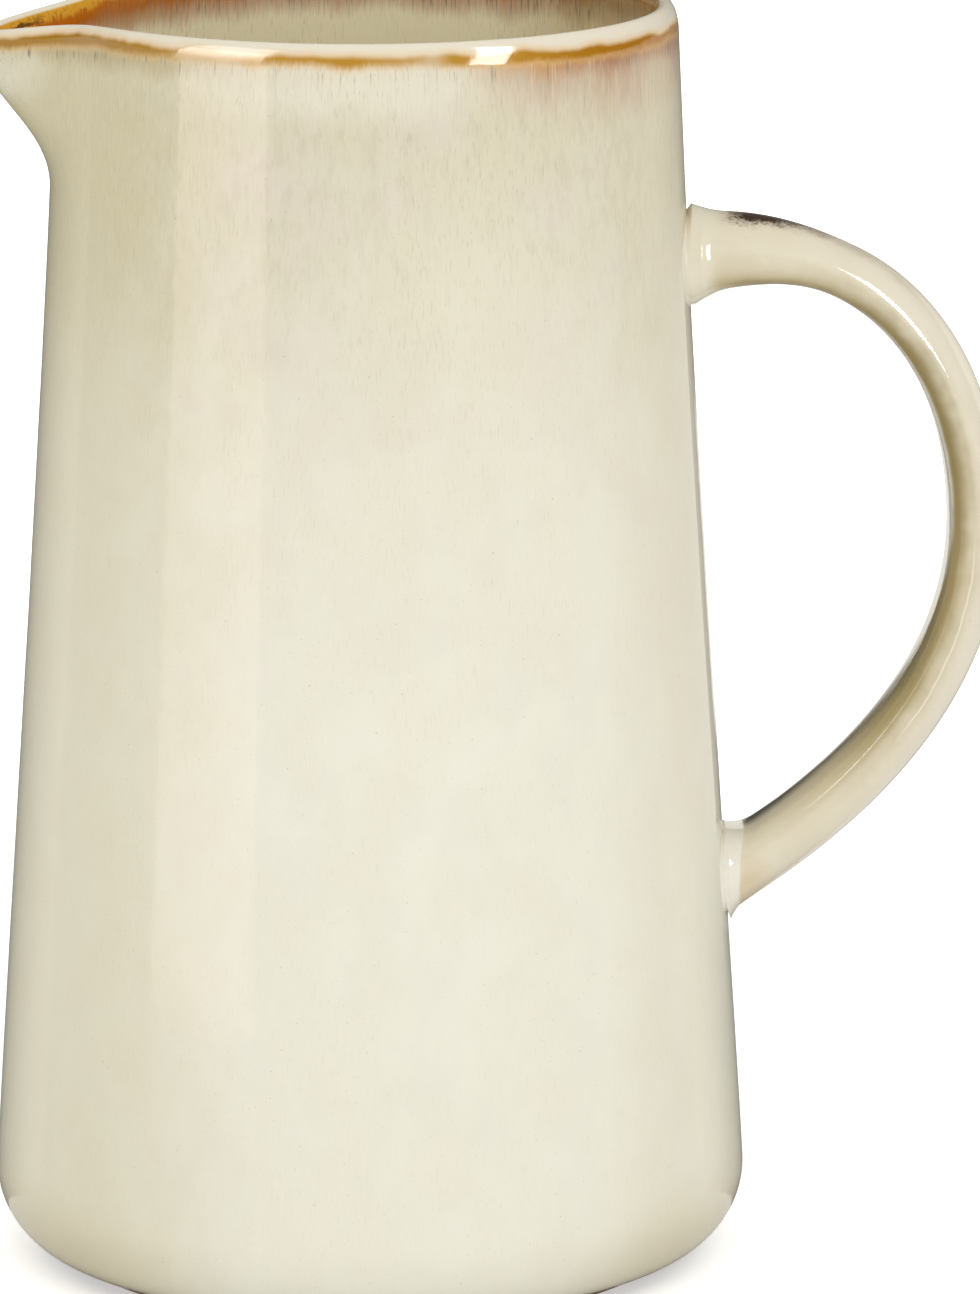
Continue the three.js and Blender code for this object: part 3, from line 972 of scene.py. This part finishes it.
def outer_glaze(marks, spot, x, y, drop, wave, runs, broad, mottle):
    """The glaze's ground, the amber line under the rim, and brown towards the bottom, over the foot and the
    lowest part of the rounded base.
    """
    colour = outer_ground(marks, spot, x, drop, wave, mottle)
    colour = amber_line(colour, x, y, drop, wave, runs, broad, mottle)
    return blend(step_up(drop, 206.5, 208.6), colour, FOOT_BROWN)


def inner_glaze(marks, spot, x, drop, wave, runs, mottle):
    """Gold at the lip, then a rusty stretch that runs down into grey beige. On the handle's side painted
    shade makes all of it darker and duller.
    """
    depth = drop + wave * 4 + runs * 5
    # Painted shade: the inside on the handle's side is darker and duller.
    handle_side_shade = step_up(x, 18, 40)
    lip = step_down(x + mottle * 8, -42, -24)
    colour = blend(step_up(x, 18, 44), INNER_CREAM, SHADED_INNER_KHAKI)
    colour = blend(marks["Dark Strokes"] * 0.3, colour, INNER_DARK_STROKE)
    colour = blend(marks["Pale Strokes"] * 0.3, colour, INNER_PALE_STROKE)
    rust = blend(lip, blend(handle_side_shade, INNER_RUST, SHADED_INNER_RUST), LIP_RUST)
    brown = blend(lip, blend(handle_side_shade, INNER_BROWN, SHADED_INNER_BROWN), LIP_BROWN)
    amber = blend(step_up(drop + mottle * 3 + runs * 2, 0.9, 2.2), LIP_GOLD, LIP_ORANGE)
    gold = blend(lip, blend(handle_side_shade, INNER_GOLD, SHADED_INNER_GOLD), amber)
    colour = blend(step_down(depth, 5.8, 9.5) * 0.85, colour, rust)
    colour = blend(step_down(depth, 3.4, 6.4), colour, brown)
    colour = blend(step_down(depth + mottle * 4, 2.0, 5.0), colour, gold)
    strokes = step_up(runs, 0.04, 0.14) * step_down(depth, 6.0, 11.0) * (1 - lip * 0.5)
    colour = blend(strokes * 0.6, colour, INNER_STREAK)
    tip = step_down(x + mottle * 12, -58, -51) * step_up(drop, 0.5, 1.2) * step_down(depth, 5, 9)
    streaks = step_up(noise(spot, across=2.4, up=0.9, detail=2.0, shift=33.0), 0.47, 0.56) * tip
    colour = blend(streaks * 0.85, colour, TIP_STREAK)
    return blend(step_down(drop, 0.25, 0.6), colour, INNER_RIM)


def finger_side(colour, side, depth, wave, from_upper, from_lower):
    """Khaki on the side of the fingers, partly the glaze and partly painted shade, olive deeper in and
    painted shade under the upper end, and a painted highlight line along the middle of the lower bow.
    """
    bowed = bell(from_upper, 85, 45)
    # Partly painted shade, partly the glaze's own tone: khaki and olive on the side of the fingers.
    khaki = step_down(side - bowed * 0.2, -0.75, 0.35) * step_up(from_lower, 8, 40, 0.1, 0.9)
    colour = blend(khaki, colour, STRAP_SHADE_KHAKI)
    bow = step_up(from_lower, 62, 92)
    deep = step_down(side - bow * 0.2, -0.6, -0.02)
    deep = deep * step_up(from_lower, 22, 50) * step_up(from_upper, 16, 44)
    colour = blend(deep * (0.6 + bow * 0.2), colour, STRAP_SHADE_OLIVE)
    # Painted shade: olive under the upper end.
    under = step_down(side, -0.85, -0.35) * step_up(from_upper, 5, 10) * step_down(from_upper, 26, 46)
    colour = blend(under * 0.7, colour, UNDERSIDE_SHADE_OLIVE)
    # Painted highlight: a pale line along the middle of the lower bow.
    edge = bell(depth + wave * 0.6, 0, 0.15)
    edge = edge * step_up(from_lower, 34, 44) * step_down(from_lower, 66, 78)
    colour = blend(edge * 0.75, colour, PAINTED_HIGHLIGHT_LINE)
    return colour


def crossing_line(colour, outer, y, wave, from_lower):
    """A dark line across the side of the fingers, from its far edge at the lower end to its near edge higher
    up, partly the glaze and partly painted shade. Past the line a painted reflection makes it pale grey."""
    face = step_down(outer, -0.8, -0.5)
    past = y - step_up(from_lower, 18, 82, 7.4, -8.2) + wave * 1.5
    low = face * step_down(from_lower, 30, 72)
    # Partly painted shade, partly the glaze: olive darkening towards the line, and the dark line itself.
    colour = blend(low * step_up(past, -10, -0.5) * step_down(past, 0, 0.8), colour, CROSSING_SHADE_OLIVE)
    # Painted reflection: pale grey past the line.
    colour = blend(face * step_up(past, 0, 2.0), colour, PAINTED_REFLECTION_GREY)
    colour = blend(low * bell(past, 0, 0.7), colour, CROSSING_SHADE_BROWN)
    return colour


def end_marks(colour, side, y, wave, fine, from_upper, from_lower):
    """An orange tinge and dark brown on the side of the fingers at the lower end, and a shade with a smudge
    on top of the upper end.
    """
    tinge = step_down(from_lower, 4, 10) * step_up(side, -0.5, 0.3)
    colour = blend(tinge * 0.4, colour, ORANGE_TINGE)
    shade = step_up(from_upper, 4, 9) * step_down(from_upper, 22, 46) * step_up(side, 0.8, 1.0)
    colour = blend(shade * 0.4, colour, SHADE)
    smudge = step_up(from_upper + fine * 6, 5.5, 9.5) * step_down(from_upper + wave * 6, 13, 28)
    taper = step_up(from_upper, 9, 27, 0, 0.1)
    smudge = smudge * step_up(side + fine * 0.2 - taper, 0.84, 1.0)
    colour = blend(smudge, colour, SMUDGE)
    dark_lower_end = step_up(from_lower, 3.4, 5) * step_down(from_lower, 12, 42) * step_down(side, -0.85, -0.45)
    colour = blend(dark_lower_end * step_up(y, -3, 5), colour, LOWER_END_DARK_BROWN)
    return colour


def slip_ends(colour, outer, wave, from_upper, from_lower):
    """Pale glaze over the slip at both ends."""
    colour = blend(step_down(from_upper + wave * 3, 2.5, 6.0), colour, STRAP_CREAM)
    slip_end = from_lower * LOWER_AWAY_SHARE + outer * SLIP_SLANT - SLIP_AWAY
    colour = blend(step_down(slip_end, -0.2, 0.2), colour, SLIP_CREAM)
    return colour


def strap_glaze(name):
    """The glaze of the handle and the collars: cream, with its marks laid over it one by one."""
    material, tree, shader = shaded_material(name)
    marks = grain(tree, stroke_width=0.6, stroke_length=2.4, speck_size=0.34, patch_size=14.0)
    spot = object_place(tree)
    wave = noise(spot, across=5.0, up=5.0, detail=2.0, shift=2.0) - 0.5
    fine = noise(spot, across=0.5, up=0.5, detail=2.0, shift=6.0) - 0.5
    outer = attribute(tree, "outer")
    depth = attribute(tree, "depth") * MM_PER_METRE
    from_upper = attribute(tree, "along") * MM_PER_METRE
    from_lower = LINE_LENGTH / MM - from_upper
    side = outer + wave * 0.4
    _, y, _ = split(spot)
    colour = blend(marks["Patches"] * 0.5, STRAP_CREAM, STRAP_PATCH)
    colour = blend(marks["Blushes"] * 0.3, colour, STRAP_BLUSH)
    colour = finger_side(colour, side, depth, wave, from_upper, from_lower)
    colour = crossing_line(colour, outer, y, wave, from_lower)
    colour = end_marks(colour, side, y, wave, fine, from_upper, from_lower)
    colour = slip_ends(colour, outer, wave, from_upper, from_lower)
    colour = blend(marks["Specks"] * 0.4, colour, SPECK)
    finish_glaze(tree, shader, colour, marks)
    return material


def bare_clay():
    material, tree, shader = shaded_material("bare_clay")
    marks = grain(tree, stroke_width=0.8, stroke_length=0.8, speck_size=0.6, patch_size=10.0)
    colour = blend(marks["Patches"], CLAY, CLAY_PATCH)
    colour = blend(marks["Specks"] * 0.7, colour, CLAY_SPECK)
    feed(tree, shader.inputs["Base Color"], colour)
    shader.inputs["Roughness"].default_value = CLAY_ROUGHNESS
    bump = add_field(tree, "ShaderNodeBump", Strength=CLAY_GRAIN_STRENGTH, Distance=CLAY_GRAIN_HEIGHT,
                     Height=marks["Ripple"])
    feed(tree, shader.inputs["Normal"], bump)
    return material


# Studio

def aim(obj, target):
    obj.rotation_euler = (Vector(target) - obj.location).to_track_quat("-Z", "Y").to_euler()


def round_the_jug(azimuth, distance, z):
    """A place by its azimuth in degrees, from the front towards +X, and its distance from the jug's axis."""
    turn = math.radians(azimuth)
    return Vector((AXIS_X + math.sin(turn) * distance, -math.cos(turn) * distance, z))


def soft_light(name, azimuth, elevation, reach, size, watts):
    """A large soft lamp for even light. It shows in no reflection."""
    data = bpy.data.lights.new(name, "AREA")
    data.shape = "SQUARE"
    data.size = size
    data.energy = watts
    light = new_object(name, data)
    lift = math.radians(elevation)
    light.location = round_the_jug(azimuth, reach * math.cos(lift), AIM_HEIGHT + reach * math.sin(lift))
    aim(light, (AXIS_X, 0, AIM_HEIGHT))
    light.visible_glossy = False


def studio_card(name, corners, tone, glow):
    """A card that only shows in the glaze, and only from the front. Its glow is a rule of the place on it, in
    metres from the axis."""
    mesh = bpy.data.meshes.new(name)
    mesh.from_pydata(corners, [], [(0, 1, 2, 3)])
    card_face = mesh.polygons[0]
    if card_face.normal.dot(Vector((AXIS_X, -FRONT, AIM_HEIGHT)) - card_face.center) < 0:
        mesh.flip_normals()
    card = new_object(name, mesh)
    material, tree = empty_material(name)
    x, y, z = split(object_coordinates(tree))
    light = add_node(tree, "ShaderNodeEmission", Color=tone, Strength=glow(x - AXIS_X, y, z))
    clear = tree.nodes.new("ShaderNodeBsdfTransparent")
    facing = tree.nodes.new("ShaderNodeNewGeometry")
    either = tree.nodes.new("ShaderNodeMixShader")
    tree.links.new(facing.outputs["Backfacing"], either.inputs[0])
    tree.links.new(light.outputs[0], either.inputs[1])
    tree.links.new(clear.outputs[0], either.inputs[2])
    show(tree, either)
    mesh.materials.append(material)
    card.visible_camera = False
    card.visible_diffuse = False
    card.visible_shadow = False


def steady(strength):
    """A rule for a card that glows the same all over."""
    def glow(x, y, z):
        return strength

    return glow


def level_corners(size, z):
    """Corners of a level square sheet over the origin."""
    half = size / 2
    return [(-half, -half, z), (half, -half, z), (half, half, z), (-half, half, z)]


def upright_corners(left, right, y, bottom, top):
    """Corners of a card across the view, with its sides at these distances from the axis."""
    ends = [(left, bottom), (right, bottom), (right, top), (left, top)]
    return [(AXIS_X + x, y, z) for x, z in ends]


def turned_corners(azimuths, distance, bottom, top):
    """Corners of a card that stands between two azimuths, at a distance from the axis."""
    left, right = azimuths
    ends = [(left, bottom), (right, bottom), (right, top), (left, top)]
    return [round_the_jug(azimuth, distance, z) for azimuth, z in ends]


def left_card(name, azimuths, bottom, top, tone, glows, heights):
    """A card at the left. Its glow changes from one strength to the other between two heights, and fades to
    plain light at its sides."""
    low_side, high_side = (math.radians(azimuth) for azimuth in azimuths)

    def glow(x, y, z):
        turn = calc("ARCTAN2", x, -y)
        inside = step_up(turn, low_side, low_side + LEFT_FADE)
        inside = inside * step_down(turn, high_side - LEFT_FADE, high_side)
        return 1 + (step_up(z, *heights, *glows) - 1) * inside

    studio_card(name, turned_corners(azimuths, LEFT_REACH, bottom, top), tone, glow)


def edge_x(z):
    """How far an edge of the body stands from the axis, nearly."""
    return BASE_RADIUS + (RIM_RADIUS - BASE_RADIUS) / HEIGHT * z


def edge_flag(name, side, top):
    """A dark card behind an edge of the body, which draws that edge. It fades with the distance from it."""
    def corner(out, z):
        return (AXIS_X + side * (edge_x(z) + out), EDGE_FLAG_BACK, z)

    def glow(x, y, z):
        return step_up(x * side - edge_x(z), 0, EDGE_FLAG_REACH, FLAG_GLOW, 1.0)

    corners = [corner(0, 0), corner(EDGE_FLAG_REACH, 0), corner(EDGE_FLAG_REACH, top), corner(0, top)]
    studio_card(name, corners, FLAG_TONE, glow)


def back_flag():
    """A dark card behind the handle's side of the jug, with two light windows for the handle's inner side."""
    def glow(x, y, z):
        fade = step_up(x, *BACK_FADE_OUT, 0, 1 - FLAG_GLOW) * step_down(z, *BACK_FADE_TOP)
        dark = FLAG_GLOW + fade
        in_handle = step_up(x, *HANDLE_WINDOW_LEFT) * step_down(x, *HANDLE_WINDOW_RIGHT)
        in_handle = in_handle * step_up(z, *HANDLE_WINDOW_BOTTOM) * step_down(z, *HANDLE_WINDOW_TOP)
        below = step_down(x, *LOW_WINDOW_RIGHT) * step_down(z, *LOW_WINDOW_TOP)
        return dark + (1 - dark) * (in_handle + below)

    corners = upright_corners(left=-60 * MM, right=340 * MM, y=150 * MM, bottom=0, top=320 * MM)
    studio_card("back_flag", corners, FLAG_TONE, glow)


def gap_card():
    """A light card before the handle, so that the wall beside it shows plain light and not the handle."""
    low, high = 45 * MM, 185 * MM

    def glow(x, y, z):
        out = x - edge_x(z) + step_up(z, low, high, 0, GAP_LEAN)
        as_behind = step_up(out, *GAP_EDGE, GAP_DARK, 1.0)
        middle = step_up(z, low, low + GAP_LOW_FADE) * step_down(z, high - GAP_HIGH_FADE, high)
        return as_behind + (1 - as_behind) * GAP_SHARE * middle

    corners = upright_corners(left=50 * MM, right=108 * MM, y=-12 * MM, bottom=low, top=high)
    studio_card("gap_card", corners, FLAG_TONE, glow)


def dark_ceiling():
    """A dark sheet high over the jug, so that the rim keeps its colours."""
    studio_card("dark_ceiling", level_corners(CEILING_SIZE, CEILING_HEIGHT), WHITE, steady(FLAG_GLOW))


def front_flags():
    """Dark cards in a ring far in front and at the right, above the jug, for the same use."""
    for k, (left, right) in enumerate(zip(FLAG_AZIMUTHS, FLAG_AZIMUTHS[1:])):
        bottom = FLAG_BOTTOM if right <= SIDE_AZIMUTH else SIDE_FLAG_BOTTOM
        corners = turned_corners((left, right), FLAG_REACH, bottom, CEILING_HEIGHT)
        studio_card("front_flag_%d" % (k + 1), corners, WHITE, steady(FLAG_GLOW))


def bright_window():
    """A small bright card at the right that leans over. Its reflection is the sharp light on the rim."""
    corners = [round_the_jug(*corner) for corner in WINDOW_CORNERS]
    studio_card("right_window", corners, WHITE, steady(WINDOW_GLOW))


def make_camera():
    data = bpy.data.cameras.new("photo_camera")
    data.sensor_width = SENSOR
    data.sensor_fit = "AUTO"
    data.lens = FOCAL_PIXELS / PHOTO_HEIGHT * SENSOR
    camera = new_object("photo_camera", data)
    camera.location = (AXIS_X + CAMERA_ASIDE, -CAMERA_BACK, CAMERA_HEIGHT)
    camera.rotation_euler = (math.pi / 2 - CAMERA_PITCH, 0, -CAMERA_YAW)
    bpy.context.scene.camera = camera


def make_floor():
    """A pale floor that keeps the shadow and shows white to the camera."""
    mesh = bpy.data.meshes.new("studio_floor")
    mesh.from_pydata(level_corners(FLOOR_SIZE, 0), [], [(0, 1, 2, 3)])
    floor = new_object("studio_floor", mesh)
    material, tree = empty_material("pale_floor")
    paint = add_node(tree, "ShaderNodeBsdfDiffuse", Color=FLOOR_COLOUR)
    path = tree.nodes.new("ShaderNodeLightPath")
    away = add_node(tree, "ShaderNodeVectorMath", {"operation": "LENGTH"})
    feed(tree, away.inputs[0], object_coordinates(tree))
    whiten = step_up(Field(tree, away.outputs["Value"]), SHADOW_REACH, WHITE_REACH, SHADOW_GLOW, 1.0)
    seen = Field(tree, path.outputs["Is Camera Ray"])
    glow = add_node(tree, "ShaderNodeEmission", Color=WHITE, Strength=seen * whiten)
    both = tree.nodes.new("ShaderNodeAddShader")
    tree.links.new(paint.outputs[0], both.inputs[0])
    tree.links.new(glow.outputs[0], both.inputs[1])
    show(tree, both)
    mesh.materials.append(material)


def make_world():
    world = bpy.data.worlds.new("studio")
    bpy.context.scene.world = world
    world.use_nodes = True
    tree = world.node_tree
    tree.nodes.clear()
    path = tree.nodes.new("ShaderNodeLightPath")
    camera, glossy, through = (Field(tree, path.outputs[ray]) for ray in SEEN_RAYS)
    seen = calc("MAXIMUM", calc("MAXIMUM", camera, glossy), through)
    glow = add_node(tree, "ShaderNodeBackground", Color=WHITE, Strength=step_up(seen, 0, 1, WORLD_LIGHT, 1.0))
    exit_node = tree.nodes.new("ShaderNodeOutputWorld")
    tree.links.new(glow.outputs[0], exit_node.inputs[0])


def make_lights():
    soft_light("soft_key", azimuth=12, elevation=35, reach=1.6, size=1.4, watts=5)
    left_card("left_strip", azimuths=(-69, -34), bottom=2 * MM, top=STRIP_TOP, tone=WARM,
              glows=(1.95, 2.7), heights=(0.11, 0.17))
    left_card("left_head", azimuths=(-72.4, -36), bottom=STRIP_TOP, top=HEAD_TOP, tone=PALE,
              glows=(3.0, HEAD_GLOW), heights=(STRIP_TOP, 0.36))
    left_card("left_crest", azimuths=(-72.4, -36), bottom=HEAD_TOP, top=0.6, tone=PALE,
              glows=(HEAD_GLOW, 5.0), heights=(HEAD_TOP, 0.46))
    bright_window()
    front_flags()
    edge_flag("left_flag", side=-1, top=HEIGHT)
    edge_flag("right_low_flag", side=1, top=50 * MM)
    back_flag()
    gap_card()
    dark_ceiling()


glaze = body_glaze()
handle_glaze = strap_glaze("handle_glaze")
collar_glaze = strap_glaze("collar_glaze")

pieces = [
    (make_body(glaze, bare_clay()), "body", "body_glaze"),
    (make_strap("jug_handle", handle_distances(), handle_glaze), "handle", "handle_glaze"),
    (make_strap("jug_upper_collar", collar_distances(True), collar_glaze), "upper_collar", "collar_glaze"),
    (make_strap("jug_lower_collar", collar_distances(False), collar_glaze), "lower_collar", "collar_glaze"),
]
for piece, node, finish in pieces:
    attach(piece, "root")
    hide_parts(node)

make_camera()
make_floor()
make_world()
make_lights()

bpy.context.scene.view_settings.view_transform = "Standard"
